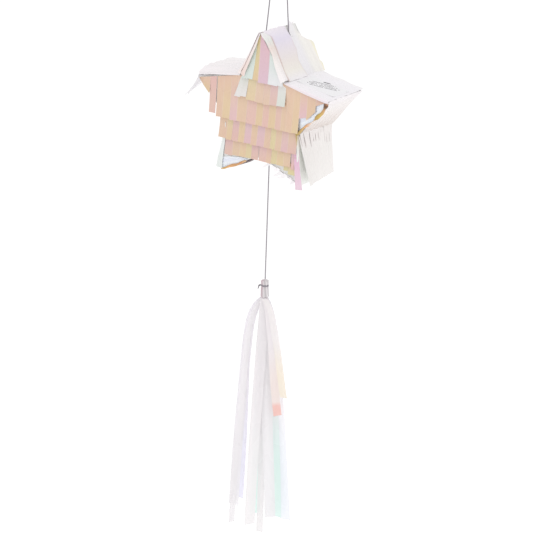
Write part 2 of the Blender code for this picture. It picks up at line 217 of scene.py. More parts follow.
def new_group(name, inputs):
    """A node group for a surface: its inputs, its sheet and a way to give its three results."""
    group = bpy.data.node_groups.new(name, "ShaderNodeTree")
    for socket, value in inputs.items():
        kind = "Float" if isinstance(value, float) else "Color"
        made = group.interface.new_socket(socket, in_out="INPUT", socket_type="NodeSocket" + kind)
        made.default_value = value
    for socket, kind in (("Color", "Color"), ("Roughness", "Float"), ("Normal", "Vector")):
        group.interface.new_socket(socket, in_out="OUTPUT", socket_type="NodeSocket" + kind)
    ends = group.nodes.new("NodeGroupInput").outputs, group.nodes.new("NodeGroupOutput")
    return group, NodeSheet(group), *ends


def film_shimmer_group():
    """Iridescent film: its tint drifts in hue down and across the sheet, with fine drawn streaks,
    soft wrinkles in its normal, and a painted highlight along each cut edge."""
    group, sheet, inside, outside = new_group("film_shimmer", {
        "Tint": (0.8, 0.8, 0.8, 1), "Drift": 0.05, "Streaks": 0.1, "Wrinkles": 0.3})
    place = sheet.add("TexCoord").outputs["Object"]
    uv = sheet.add("UVMap", uv_map="film").outputs[0]
    cloud = sheet.noise(place, (70, 70, 38))
    streak = sheet.noise(place, (2400, 2400, 60))
    hue = sheet.around(cloud, inside["Drift"], 0.5)
    brighter = sheet.around(streak, inside["Streaks"], 1.0)
    shifted = sheet.add("HueSaturation", {"Hue": hue, "Value": brighter,
                                          "Color": inside["Tint"]}).outputs[0]
    across = sheet.add("SeparateXYZ", {0: uv}).outputs[0]
    middle = sheet.math("ABSOLUTE", sheet.math("SUBTRACT", across, 0.5))
    # painted highlight: the tint turns paler towards each cut edge of the sheet
    rim = sheet.span(middle, 0.46, 0.5, 0.0, 0.4)
    crease = sheet.noise(place, (260, 260, 90), 3.0, Distortion=0.6)
    height = sheet.math("ADD", crease, sheet.math("MULTIPLY", streak, 0.12))
    sheet.feed(outside, {"Color": sheet.blend(rim, shifted, (0.93, 0.92, 0.93, 1)),
                         "Roughness": sheet.span(cloud, 0.3, 0.7, 0.2, 0.36),
                         "Normal": sheet.bump(height, inside["Wrinkles"], 0.0006)})
    return group


def fibre_group():
    """Paper and card: short pale and dark fibres, a slow mottle and a matt tooth."""
    group, sheet, inside, outside = new_group("paper_fibre", {
        "Base": (0.8, 0.8, 0.8, 1), "Mottle": 0.1, "Tooth": 0.2})
    place = sheet.add("TexCoord").outputs["Object"]
    fibres = sheet.noise(place, 1400.0, 4.0, Roughness=0.7, Distortion=1.5)
    patches = sheet.noise(place, 90.0)
    mixed = sheet.math("ADD", sheet.math("MULTIPLY", fibres, 0.6), sheet.math("MULTIPLY", patches, 0.4))
    colour = sheet.add("HueSaturation", {"Value": sheet.around(mixed, inside["Mottle"], 1.0),
                                         "Color": inside["Base"]}).outputs[0]
    sheet.feed(outside, {"Color": colour, "Roughness": sheet.span(fibres, 0.0, 1.0, 0.5, 0.75),
                         "Normal": sheet.bump(fibres, inside["Tooth"], 0.0002)})
    return group


def film_material(name, drift, streaks, wrinkles, alpha=1.0, metallic=0.0, glow=0.0):
    """Film in one finish: the shared shimmer over the sheet's own tint. Its glow is painted light
    that stands in for the light coming through thin film."""
    material, sheet, shader = new_material(name)
    tint = sheet.add("Attribute", attribute_name="tint").outputs["Color"]
    film = sheet.add("Group", {"Tint": tint, "Drift": drift, "Streaks": streaks,
                               "Wrinkles": wrinkles}, node_tree=FILM_SHIMMER).outputs
    # the emission in the film's own colour is painted light, as strong as glow
    sheet.feed(shader, {"Base Color": film["Color"], "Roughness": film["Roughness"],
                        "Normal": film["Normal"], "Emission Color": film["Color"],
                        "Emission Strength": glow, "Alpha": alpha, "Metallic": metallic,
                        "Coat Weight": 0.25, "Coat Roughness": 0.2})
    return material


def paper_material(name, base, mottle, tooth):
    material, sheet, shader = new_material(name)
    fibre = sheet.add("Group", {"Base": (*linear(base), 1), "Mottle": mottle, "Tooth": tooth},
                      node_tree=PAPER_FIBRE).outputs
    sheet.feed(shader, {"Base Color": fibre["Color"], "Roughness": fibre["Roughness"],
                        "Normal": fibre["Normal"]})
    return material


def sticker_material():
    """White sticker paper with four plain grey rules of uneven dashes and a short heavy one above
    them, printed askew."""
    material = paper_material("sticker_paper", (247, 246, 248), 0.04, 0.1)
    sheet = NodeSheet(material.node_tree)
    shader = material.node_tree.nodes["Principled BSDF"]
    paper = shader.inputs["Base Color"].links[0].from_socket
    uv = sheet.add("UVMap", uv_map="film").outputs[0]
    turned = sheet.add("Mapping", {"Vector": uv, "Scale": (34, 22, 1),
                                   "Rotation": (0, 0, math.radians(-26))}).outputs[0]
    along, up, _ = sheet.add("SeparateXYZ", {0: turned}).outputs
    line = sheet.math("DIVIDE", up, 2.7)
    row = sheet.math("FLOOR", line)
    inked = sheet.math("LESS_THAN", sheet.math("FRACT", line), 0.34)
    place = sheet.add("CombineXYZ", {0: sheet.math("MULTIPLY", along, 0.5),
                                     1: sheet.math("MULTIPLY", row, 7.3)}).outputs[0]
    word = sheet.noise(place, 1.0, 3.0, Roughness=0.75)
    dash = sheet.math("MULTIPLY", inked, sheet.math("GREATER_THAN", word, 0.44))
    from_middle = sheet.math("ABSOLUTE", sheet.math("SUBTRACT", row, 1.2))
    reach = sheet.math("SUBTRACT", 13.5, sheet.math("MULTIPLY", 2.2, from_middle))
    near = sheet.math("COMPARE", along, 20.5, reach)
    rows = sheet.math("COMPARE", row, 1.5, 1.9)
    block = sheet.math("MULTIPLY", sheet.math("COMPARE", along, 22.5, 3.0),
                       sheet.math("COMPARE", up, 12.0, 0.9))
    lines = sheet.math("MULTIPLY", dash, sheet.math("MULTIPLY", near, rows))
    ink = sheet.math("MULTIPLY", sheet.math("MAXIMUM", lines, block), 0.9)
    sheet.feed(shader, {"Base Color": sheet.blend(ink, paper, (*linear((96, 92, 98)), 1))})
    return material


def cord_material():
    """Metallic thread with painted shade in the grooves between the plies, painted highlights on
    their backs and painted glints from a fine noise.
    """
    material, sheet, shader = new_material("silver_thread")
    # glint: a fine noise that paints glints, lifting the tint towards pale grey
    glint = sheet.noise(sheet.add("TexCoord").outputs["Object"], (3600, 3600, 1300))
    tint = sheet.add("Attribute", attribute_name="tint").outputs["Color"]
    share = sheet.span(glint, 0.35, 0.65, 0.0, 0.45)
    sheet.feed(shader, {"Base Color": sheet.blend(share, tint, (*linear((188, 186, 196)), 1)),
                        "Normal": sheet.bump(glint, 0.4, 0.0001), "Metallic": 0.35,
                        "Roughness": 0.42})
    return material


# ---------------------------------------------------------------- meshes from grids
def shares(rows, columns):
    """How far down and across each row and column of a grid is, from 0 to 1."""
    return np.linspace(0, 1, rows)[:, None], np.linspace(0, 1, columns)[None, :]


def mix(first, second, share):
    """Two linear tints, mixed by a share for each point of a grid."""
    return first * (1 - share[..., None]) + second * share[..., None]


def grid_faces(rows, columns, wrap_rows=False, wrap_columns=False):
    """Four-cornered faces between neighbouring rows and columns, joined round where it wraps."""
    index = np.arange(rows * columns).reshape(rows, columns)
    if wrap_rows:
        index = np.vstack([index, index[:1]])
    if wrap_columns:
        index = np.hstack([index, index[:, :1]])
    return np.stack([index[:-1, :-1], index[1:, :-1], index[1:, 1:], index[:-1, 1:]],
                    -1).reshape(-1, 4)


def grid(points, tint, uv=None, wrap=(False, False)):
    """Points (rows, columns, 3) in metres with a linear tint each and the sheet's own u, v."""
    rows, columns = points.shape[:2]
    if uv is None:
        uv = np.stack(np.broadcast_arrays(*shares(rows, columns))[::-1], -1)
    return {"points": points, "tint": np.broadcast_to(tint, points.shape), "uv": uv, "wrap": wrap}


def make_piece(name, grids, material, body, stands_for=(), thickness=0.0, closed=False):
    """One mesh from several grids, with its tint, its u, v map and its place in the assembly."""
    points, tints, maps, faces, count = [], [], [], [], 0
    for part in grids:
        rows, columns = part["points"].shape[:2]
        points.append(part["points"].reshape(-1, 3))
        tints.append(part["tint"].reshape(-1, 3))
        maps.append(part["uv"].reshape(-1, 2))
        faces.append(grid_faces(rows, columns, *part["wrap"]) + count)
        count += rows * columns
    mesh = bpy.data.meshes.new(name)
    mesh.from_pydata(np.vstack(points).tolist(), [], np.vstack(faces).tolist())
    tint = mesh.color_attributes.new("tint", "FLOAT_COLOR", "POINT")
    tint.data.foreach_set("color", np.hstack([np.vstack(tints), np.ones((count, 1))]).ravel())
    corners = np.zeros(len(mesh.loops), int)
    mesh.loops.foreach_get("vertex_index", corners)
    layer = mesh.uv_layers.new(name="film")
    layer.data.foreach_set("uv", np.vstack(maps)[corners].ravel())
    if thickness:       # keep the cut edges' shading apart from the flat film's
        edges = np.zeros(len(mesh.loops), int)
        mesh.loops.foreach_get("edge_index", edges)
        rim = mesh.attributes.new("sharp_edge", "BOOLEAN", "EDGE")
        rim.data.foreach_set("value", np.bincount(edges, minlength=len(mesh.edges)) == 1)
    if closed:
        solid = bmesh.new()
        solid.from_mesh(mesh)
        bmesh.ops.remove_doubles(solid, verts=solid.verts, dist=1e-7)
        bmesh.ops.recalc_face_normals(solid, faces=solid.faces)
        solid.to_mesh(mesh)
        solid.free()
    mesh.shade_smooth()
    mesh.materials.append(material)
    piece = bpy.data.objects.new(name, mesh)
    bpy.context.scene.collection.objects.link(piece)
    if thickness:
        shell = piece.modifiers.new("thickness", "SOLIDIFY")
        shell.thickness, shell.offset = thickness * MM, 0.0
    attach(piece, body)
    if stands_for:
        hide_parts(*stands_for)
    return piece


def on_star(x, y, z):
    """Millimetres from the star's centre, as metres in the object's frame."""
    return STAR_CENTRE + np.stack(np.broadcast_arrays(x, y, z), -1) * MM


# ---------------------------------------------------------------- cords and knots
def smooth_route(points, count):
    """Evenly spaced points on a Catmull-Rom curve through the given ones."""
    route = np.array(points, float)
    ends = np.vstack([2 * route[0] - route[1], route, 2 * route[-1] - route[-2]])
    a, b, c, d = (ends[start:len(ends) - 3 + start, None] for start in range(4))
    t = np.linspace(0, 1, 20, endpoint=False)[None, :, None]
    fine = 0.5 * (2 * b + (c - a) * t + (2 * a - 5 * b + 4 * c - d) * t ** 2
                  + (3 * b - a - 3 * c + d) * t ** 3)
    fine = np.vstack([fine.reshape(-1, 3), route[-1]])
    travelled = np.concatenate([[0], np.cumsum(np.linalg.norm(np.diff(fine, axis=0), axis=1))])
    even = np.linspace(0, travelled[-1], count)
    return np.stack([np.interp(even, travelled, fine[:, axis]) for axis in range(3)], -1)


def frames_along(path, closed):
    """Two directions across the path at each point, carried along it with no twist of their own."""
    if closed:
        tangent = np.roll(path, -1, 0) - np.roll(path, 1, 0)
    else:
        tangent = np.gradient(path, axis=0)
    tangent /= np.linalg.norm(tangent, axis=1, keepdims=True)
    normal = np.zeros_like(path)
    normal[0] = np.cross(tangent[0], (0.31, 0.95, 0.05))
    normal[0] /= np.linalg.norm(normal[0])
    for index in range(1, len(path)):
        carried = normal[index - 1] - tangent[index] * (normal[index - 1] @ tangent[index])
        normal[index] = carried / np.linalg.norm(carried)
    if closed:
        side = np.cross(tangent[0], normal[0])
        gap = math.atan2(normal[-1] @ side, normal[-1] @ normal[0])
        turn = -gap * np.linspace(0, 1, len(path))[:, None]
        normal = normal * np.cos(turn) + np.cross(tangent, normal) * np.sin(turn)
    return normal, np.cross(tangent, normal)


def tube_points(path, radius, angle, closed=False):
    """Rings round each point of a path, at the given radius for each angle."""
    normal, side = frames_along(path, closed)
    return (path[:, None] + normal[:, None] * (radius * np.cos(angle))[..., None]
            + side[:, None] * (radius * np.sin(angle))[..., None])


def twisted_tube(path, radius, closed=False, plies=3, lay=0.0031, sides=18, dark=1.0):
    """A round section carried along the path. Its radius falls in a groove between each two plies,
    and the grooves wind round once in each lay length, so the tube reads as twisted thread."""
    step = np.linalg.norm(np.diff(path, axis=0), axis=1)
    travelled = np.concatenate([[0], np.cumsum(step)])[:, None]
    if closed:
        lay = travelled[-1, 0] / max(1, round(travelled[-1, 0] / lay))
    angle = np.linspace(0, 2 * math.pi, sides, endpoint=False)[None, :]
    groove = np.abs(np.sin(plies / 2 * (angle - 2 * math.pi * travelled / lay)))
    reach = radius * (0.8 + 0.2 * groove ** 0.6)
    if not closed:
        reach[[0, -1]] = 0.0
    # painted shade and highlight over the thread's grey: darkest in the grooves between the plies and
    # palest on their backs; dark dims the whole tube as painted shade
    low, high = linear((74, 66, 70)), linear((168, 160, 166))
    tint = (low + (high - low) * groove[..., None] ** 0.8) * dark
    return grid(tube_points(path, reach, angle, closed), tint, wrap=(closed, True))


def knot_tube(centre, size, thread, turn=0.0, squash=0.85):
    """A thread that follows a trefoil: two turns round while it winds three times over and under."""
    t = np.linspace(0, 2 * math.pi, 90, endpoint=False)
    scale = (size - thread) / 3
    x, y = np.sin(t) + 2 * np.sin(2 * t), np.cos(t) - 2 * np.cos(2 * t)
    z = -1.6 * np.sin(3 * t)
    path = np.stack([x * math.cos(turn) + z * 0.2, y, squash * (x * math.sin(turn) + z)], -1)
    # dark=0.8 paints shade over the whole knot
    return twisted_tube(np.array(centre) + path * scale, thread, closed=True, plies=2, lay=0.002,
                        sides=10, dark=0.8)


def thread_piece(name, parts, body, stands_for):
    """A piece of the silver cord."""
    return make_piece(name, parts, SILVER_THREAD, body, [stands_for], closed=True)


def build_cord(name, path, body, node):
    """A cord that runs along a path between the pieces of the object at its two ends."""
    cord = thread_piece(name, [twisted_tube(path, CORD_DIAMETER / 2)], body, node)


def build_hanging_cord():
    size, thread = 0.0019, 0.00045
    for side in ("left", "right"):
        node = f"hanging_stopper_{side}"
        knot = knot_tube(sum(node_box(node)) / 2, size, thread)
        thread_piece(f"hanging_knot_{side}", [knot], "hanging_loop", node)
    build_cord("hanging_thread", smooth_route(HANG_ROUTE, 340), "hanging_loop", "hanging_cord")


def build_pull_cord():
    """It hangs plumb, with a knot under the trapdoor and one inside it, at its box's upper corner."""
    size, thread = 0.0016, 0.00042
    low, high = node_box("anchor_stopper")
    outer, inner = sum(node_box("anchor_knot")) / 2, (low + high) / 2
    inner[[0, 2]] = low[0] + size, high[2] - size
    knots = [thread_piece(name, [knot_tube(centre, size, thread, turn=0.5)], body, node)
             for name, centre, body, node in (
                 ("anchor_thread_knot", outer, "cord_anchor", "anchor_knot"),
                 ("anchor_inner_knot", inner, "trapdoor", "anchor_stopper"))]
    low, high = node_box("pull_cord")
    top, bottom = (low + high) / 2, (low + high) / 2
    top[2], bottom[2] = high[2], low[2]
    build_cord("pull_thread", np.linspace(top, bottom, 200), "pull_cord", "pull_cord")


# ---------------------------------------------------------------- the star's outline
def corner(name):
    """T0..T4 are the tips and N0..N4 the notches, clockwise from the top, in millimetres."""
    start, radius = (90, TIP_RADIUS) if name[0] == "T" else (54, NOTCH_RADIUS)
    angle = math.radians(start - 72 * int(name[1]))
    point = radius * np.array([math.cos(angle), math.sin(angle)])
    return point - np.array([TOP_LEAN, 0]) if name == "T0" else point


def wall_axes(start, end):
    """A wall's first corner, direction, outward normal and length."""
    first, last = corner(start), corner(end)
    length = np.linalg.norm(last - first)
    direction = (last - first) / length
    normal = np.array([direction[1], -direction[0]])
    return first, direction, normal if normal @ (first + last) > 0 else -normal, length


def off_wall(start, end, s, off, y):
    """Places s along a wall, off it by a height and y deep, in the object's frame."""
    first, direction, normal, _ = wall_axes(start, end)
    return on_star(first[0] + direction[0] * s + normal[0] * off, y,
                   first[1] + direction[1] * s + normal[1] * off)


UPPER = np.array([corner(name) for name in ("T4", "N4", "T0", "N0", "T1")])


def upper_edge(x):
    """The height of the star's top outline above each x."""
    return np.interp(x, UPPER[:, 0], UPPER[:, 1])


# ---------------------------------------------------------------- fringe on the two faces
STRIP_ROWS, STRIP_COLUMNS = 14, 5


def fringe_strip(top, bottom, tint_top, tint_bottom, face, base, lift):
    """One hanging strip between its two top and two bottom corners. It leaves the card at its top,
    stands off by the lift at its end with the square of the drop, cups a little across its width,
    and its two sides stand off by slightly different amounts."""
    down, across = shares(STRIP_ROWS, STRIP_COLUMNS)
    (x0, z0), (x1, z1) = top
    (x2, z2), (x3, z3) = bottom
    x = (x0 + (x1 - x0) * across) * (1 - down) + (x2 + (x3 - x2) * across) * down
    z = (z0 + (z1 - z0) * across) * (1 - down) + (z2 + (z3 - z2) * across) * down
    skew, cup = random.uniform(-0.04, 0.04), random.uniform(-0.02, 0.06)
    out = (base + lift * down ** 2 + skew * (2 * across - 1) * down
           + cup * (2 * across - 1) ** 2 * np.sqrt(down))
    y = face * (HALF_DEPTH + np.maximum(out, base * 0.6 + 0.1))
    blend = np.clip(down * 1.15 + 0.1 * (across - 0.5), 0, 1)
    tint = mix(linear(tint_top), linear(tint_bottom), blend)
    return grid(on_star(x, y, z), tint * random.uniform(0.93, 0.97))


FRINGE_ROWS = [
    # name, x of the cuts at the top, z there, x of the cuts at the ends, z there, tints, lift
    ("1", [-12, -9, -6, -3.1, 5.4, 12.3, 16.4], None, [-19.0, -13.6, -8.7, -3.3, 5.6, 14.4, 19.6],
     [25.8, 25.8, 25.6, 24.2, 24.1, 24.7], [PALE_MINT, PALE_MINT, LIME, PINK, MINT, WHITE],
     [MINT, MINT, APRICOT, LAVENDER, WHITE, WHITE], 1.9),
    ("2", [-19.8, -16.3, -12.8, -5.6, 1.6, 7.8, 14.4, 21.4], 31.0,
     [-24.7, -19.3, -13.9, -5.3, 1.8, 8.0, 14.6, 22.1], [10.2, 11.2, 9.3, 8.5, 8.0, 8.5, 9.2],
     [MINT, PALE_MINT, LIME, PEACH, ROSE, PINK, WHITE],
     [WHITE, WHITE, APRICOT, PEACH, PEACH, ROSE, MINT], 2.3),
    ("3", [-59.4, -54.5, -49.1, -42.9], None, [-58.9, -54.5, -49.1, -42.9],
     [(19.0, 13.8), (13.4, 7.8), -7.2], [PEACH, PEACH, ROSE], [PEACH, APRICOT, ROSE], 1.2),
    ("3", [-42.3, -35.8, -29.0, -22.2, -13.2, -4.2, 1.9], 27.0,
     [-41.7, -35.8, -29.0, -22.2, -13.2, -4.2, 1.6], [-8.9, -9.1, -9.6, -9.5, -9.6, -9.4],
     [PEACH, PEACH, PEACH, PEACH, ROSE, PEACH], [PEACH, APRICOT, PINK, PEACH, ROSE, APRICOT], 2.1),
    ("3", [1.9, 7.4, 13.6, 18.9, 23.4, 29.0, 34.9], 27.0, [1.7, 7.4, 13.6, 18.9, 23.4, 29.0, 34.6],
     [-9.7, -9.6, -9.8, -10.1, -10.4, -10.2], [PEACH, PEACH, ROSE, PEACH, PEACH, PEACH],
     [ROSE, APRICOT, ROSE, PEACH, PEACH, APRICOT], 2.1),
    ("3", [34.9, 41.4, 49.2, 58.6], None, [34.9, 41.4, 49.2, 58.6],
     [(2.2, 4.0), (1.4, 9.4), (14.3, 18.6)], [PEACH, PEACH, ROSE], [PINK, APRICOT, PEACH], 1.0),
    ("4", [-38.6, -31.0, -26.2, -20.1, -14.7, -8.4, -3.0, 4.0, 9.4, 14.2, 19.4, 25.6, 33.2], -6.0,
     [-38.9, -31.6, -26.6, -20.2, -14.8, -8.5, -3.1, 4.0, 9.4, 14.3, 19.6, 25.8, 33.7],
     [-25.2, -25.9, -26.0, -25.9, -25.8, -26.2, -26.1, -26.3, -26.2, -26.6, -26.7, -26.5],
     [PEACH, LIME, PINK, APRICOT, LAVENDER, APRICOT, LAVENDER, PEACH, LIME, PEACH, ROSE, PEACH],
     [PEACH, APRICOT, ROSE, APRICOT, PINK, PEACH, PINK, PEACH, LIME, PEACH, PINK, ROSE], 2.0),
    ("5", [-33.4, -25.9, -19.5, -13.1, -8.2, -1.4], -22.5,
     [-33.2, -25.7, -19.4, -13.0, -8.1, -1.5], [-38.2, -38.0, -37.8, -37.7, -37.7],
     [PINK, PEACH, PEACH, LIME, PINK], [ROSE, PEACH, APRICOT, LIME, ROSE], 1.1),
    ("5", [-1.2, 5.9, 10.4, 15.9, 21.8, 28.2], -22.5, [-1.0, 5.9, 10.3, 15.7, 21.9, 28.1],
     [-37.9, -38.1, -38.0, -38.2, -38.1], [PINK, ROSE, LIME, PEACH, PEACH],
     [ROSE, PEACH, LIME, APRICOT, PEACH], 1.1),
    ("6", [21.9, 26.2, 32.9], -35.0, [22.0, 26.2, 32.8], [-41.6, -43.9], [APRICOT, PEACH],
     [LIME, LIME], 0.5),
    ("6", [28.6, 31.4, 35.6], -22.8, [29.0, 31.8, 36.0], [-39.5, -30.0], [LAVENDER, PINK],
     [ROSE, PINK], 0.8),
]
ROW_BASE = {"1": 0.5, "2": 0.5, "3": 0.5, "4": 0.5, "5": 0.45, "6": 0.4}
# the flat width and height of the film that each row is cut from
ROW_SIZE = {"1": (38.6, 38.0), "2": (47.0, 21.5), "3": (118.0, 36.5), "4": (72.6, 20.6),
            "5": (61.5, 15.6)}


def row_strips(name, top_x, top_z, end_x, end_z, tints, end_tints, lift, face):
    """The strips of one run of fringe; the tops stop just inside the star's outline."""
    edge = upper_edge(np.array(top_x)) - 0.5
    calm = 0.0 if name == "1" else 0.25
    tints, end_tints = (np.array(row) * (1 - calm) + np.mean(row, 0) * calm
                        for row in (tints, end_tints))
    tops = edge if top_z is None else np.minimum(edge, top_z)
    strips = []
    for index, low in enumerate(end_z):
        left, right = low if isinstance(low, tuple) else (low, low)
        level, tilt = random.uniform(-0.2, 0.2), random.uniform(-0.2, 0.2)
        lap = 0.12 if index % 2 else 0.0
        strips.append(fringe_strip(
            [(top_x[index] - lap, tops[index]), (top_x[index + 1] + lap, tops[index + 1])],
            [(end_x[index] - lap, left + level - tilt), (end_x[index + 1] + lap, right + level + tilt)],
            tints[index], end_tints[index], face, ROW_BASE[name] + lap * 0.6, lift))
    return strips


def long_pink_strip():
    """The one strip that hangs past the right leg's tip, turned a little on its way down."""
    down, across = shares(24, STRIP_COLUMNS)
    x = 31.3 + 4.2 * across + (2.9 + 2.8 * across) * down ** 1.3
    z = -24.5 - 29.8 * down + 0.9 * (across - 0.5) * down
    out = 0.9 + 1.3 * down + 0.7 * (across - 0.4) * down
    blend = np.clip(down * 1.1 + 0 * across, 0, 1)
    tint = mix(linear((236, 186, 210)), linear((240, 212, 226)), blend)
    return grid(on_star(x, -(HALF_DEPTH + out), z), tint)


def build_fringe():
    """Each row of fringe is one sheet of film, cut into strips. The front's last row is longer."""
    for side, face, rows, last_size in (("front", -1, FRINGE_ROWS, (19.5, 31.0)),
                                        ("back", 1, FRINGE_ROWS[:-1], (11.2, 10.2))):
        for name, (wide, high) in {**ROW_SIZE, "6": last_size}.items():
            strips = [strip for row in rows if row[0] == name for strip in row_strips(*row, face)]
            if (side, name) == ("front", "6"):
                strips.append(long_pink_strip())
            node = f"{side}_fringe_row_{name}"
            piece = make_piece(f"{side}_fringe_film_{name}", strips, FRINGE_FILM, "star",
                               [node], FILM_THICKNESS)


# ---------------------------------------------------------------- film on the walls
def wall_film(start, end, across, along, height, tint, lip=None, rows=44, columns=40, rag=0.0):
    """A sheet folded over one wall. Each row runs from the front lip's edge, up the front face and
    over the wall from front to back. Height is the distance off the wall as a function of s, along
    the wall, and y; lip gives the front lip's width as a function of s; rag makes the two ends
    uneven with slits. A few passes of averaging round the folds."""
    share, column = shares(rows, columns)
    y_front, y_back, *edges = across
    reach_y = y_front + (y_back - y_front) * column
    s_start, s_end = (bound(reach_y) if callable(bound) else bound + 0 * reach_y for bound in along)
    s_end = s_end + (0 if callable(along[1]) else wall_axes(start, end)[3])
    s = s_start + (s_end - s_start) * share
    low, high = ([edge(s) for edge in edges] if edges
                 else [np.full_like(s, y_front), np.full_like(s, y_back)])
    front = lip(s) if lip else np.zeros_like(s)
    travelled = column * (front + high - low)
    y = low + np.clip(travelled - front, 0, high - low)
    step = np.repeat(random.uniform(-1, 1, (2, columns // 3 + 1)), 3, axis=1)[:, :columns]
    s = s + rag * (step[:1] * (1 - share) ** 3 + step[1:] * share ** 3)
    off = height(s, y) - np.maximum(front - travelled, 0)
    for _ in range(2):
        for line in (y, off):
            line[:, 1:-1] = (line[:, :-2] + 2 * line[:, 1:-1] + line[:, 2:]) / 4
    colour = tint(s, y) if callable(tint) else linear(tint)
    return grid(off_wall(start, end, s, off, y), colour)


def shades(*points, axis=0):
    """A tint that runs through (distance, colour) pairs along s, or along y where axis is 1."""
    stops = np.array([stop for stop, _ in points], float)
    colours = np.array([linear(colour) for _, colour in points])

    def tint(s, y):
        where = s if axis == 0 else y
        return np.stack([np.interp(where, stops, colours[:, band]) for band in range(3)], -1)
    return tint


def curve_through(*points):
    """A broken line through (distance, value) pairs, as a function."""
    stops, values = np.array(points, float).T
    return lambda where: np.interp(where, stops, values)


def smooth_step(value, low, high):
    share = np.clip((value - low) / (high - low), 0, 1)
    return share * share * (3 - 2 * share)


def film_piece(name, grids, stands_for=(), body="star",
               material=None):
    """A piece of side film."""
    piece = make_piece(name, grids, material or SIDE_FILM, body, stands_for, FILM_THICKNESS)


def film_sheet(name, stands_for, *wall, held="stretched", rests="side_band_right", **shape):
    """A piece of side film that is one sheet over one wall."""
    film_piece(name, [wall_film(*wall, **shape)], stands_for)


def build_right_slope():
    """Three sheets: an edge with a front lip, one over it, and one at the back with a torn end."""
    front = -HALF_DEPTH - 1.9
    fold_line = curve_through((-1, -22.5), (5, -15.5), (15, -16.5), (26, -18.5), (36, -20.5), (43, -21))
    back_line = curve_through((0, 7.2), (11, 7.0), (16, 6.9), (20, 8.2), (29, 4.6), (44, 5.6))
    sheet_tint = shades((0, (243, 236, 243)), (9, (232, 225, 240)), (17, (236, 228, 234)),
                        (27, (240, 232, 228)), (35, (245, 240, 232)), (42, (246, 242, 244)))

    def edge_height(s, y):
        return 0.6 + 1.6 * smooth_step(-y, 17, 24) * smooth_step(s, 2, 9)

    def sheet_height(s, y):
        return (0.9 - 0.2 * smooth_step(-y, 10, 17) + 1.1 * smooth_step(s, 34, 43)
                + 1.3 * np.exp(-((s - 12) / 7) ** 2) * smooth_step(y, -2, 6))

    def fold_shaded_tint(s, y):
        # painted shade: a pink-brown line along the fold line where this sheet meets the edge sheet, and a
        # fainter one along its back cut edge
        fold = np.exp(-((y - fold_line(s)) / 1.3) ** 2) * smooth_step(s, 2, 8)
        cut = np.exp(-np.abs(back_line(s) - y) / 0.5) * smooth_step(s, 8, 14) * 0.5
        return mix(sheet_tint(s, y), linear((200, 168, 156)), np.clip(fold + cut, 0, 1))

    def behind_height(s, y):
        return (0.45 + 2.6 * smooth_step(y, 17, 30)
                + 2.2 * smooth_step(-s, -7, 2) * smooth_step(y, 6, 12)
                + 0.35 * np.sin(y * 0.9) * smooth_step(y, 12, 20))

    film_sheet("slope_film_right_edge", [], "T0", "N0",
               (front, -12, lambda s: np.full_like(s, front), fold_line), (0.2, -0.6), edge_height,
               shades((0, (246, 242, 244)), (8, (234, 236, 230)), (14, (242, 226, 219)),
                      (24, (246, 238, 235)), (42, (250, 245, 246))),
               curve_through((0, 0.3), (8, 0.9), (20, 1.2), (28, 3.4), (41, 5.4)))
    film_sheet("slope_film_right_over", ["slope_film_right_front"], "T0", "N0",
               (-14, 5, fold_line, back_line), (-0.6, 1.2), sheet_height, fold_shaded_tint, rag=0.5)
    torn_end = curve_through((3, 1), (8, -0.5), (11.5, -3.2), (16, -2.4), (21, 2), (24, 6), (27, 13),
                             (30, 17))
    loose_edge = curve_through((-3, 17), (2.7, 20.9), (7, 22.5), (15.5, 27), (20, 31), (24, 29.5),
                               (34, 28), (37, 29.5), (43, 28.5))
    film_sheet("slope_film_right_rear", ["slope_film_right_back"], "T0", "N0",
               (3.2, 30, lambda s: 10.0 - 6.6 * smooth_step(s, 8.5, 11.0), loose_edge),
               (torn_end, 1.4), behind_height,
               shades((2, (245, 242, 245)), (14, (243, 240, 243)), (21, (246, 243, 238)),
                      (27, (247, 243, 238)), (28.6, (246, 241, 214)), (30.5, (250, 247, 240)),
                      axis=1), rag=0.5)


def build_left_slope():
    """Three sheets: an edge and a wider one under it before the cord's slot, and one behind it."""
    def edge_height(s, y):
        return 0.5 + 0.9 * smooth_step(-y, 16, 24) + 1.2 * smooth_step(s, 30, 39) * smooth_step(-y, 8, 20)

    def rear_height(s, y):
        return 0.5 + 2.2 * smooth_step(y, 14, 26) + 0.2 * np.sin(y * 0.7)

    film_sheet("slope_film_left_edge", ["slope_film_left_front"], "T0", "N4",
               (-HALF_DEPTH - 2.6, SLOT_LEFT - 2.8), (0.3, -0.3), edge_height,
               shades((0, (250, 246, 248)), (18, (250, 242, 243)), (30, (244, 226, 222)),
                      (39, (248, 236, 233))),
               curve_through((0, 0.2), (12, 0.9), (34, 1.5), (39, 2.4)), rests="side_band_left")
    # the under sheet grows pink-brown towards N4, where it shows beside the edge's lip: partly the film's
    # own pink, partly painted shade between the layers
    film_sheet("slope_film_left_under", [], "T0", "N4", (-HALF_DEPTH - 2.3, -12), (0.6, -0.8),
               lambda s, y: 0.3 + 0 * s,
               shades((0, (248, 240, 240)), (20, (246, 230, 226)), (39, (240, 218, 210))),
               curve_through((0, 0.8), (12, 2.2), (34, 3.4), (39, 4.4)), rests="side_band_left")
    film_sheet("slope_film_left_rear", ["slope_film_left_back"], "T0", "N4",
               (SLOT_LEFT + 2.8, HALF_DEPTH + 2.6), (0.3, 0.2), rear_height, MILK, rag=0.6,
               rests="side_band_left")


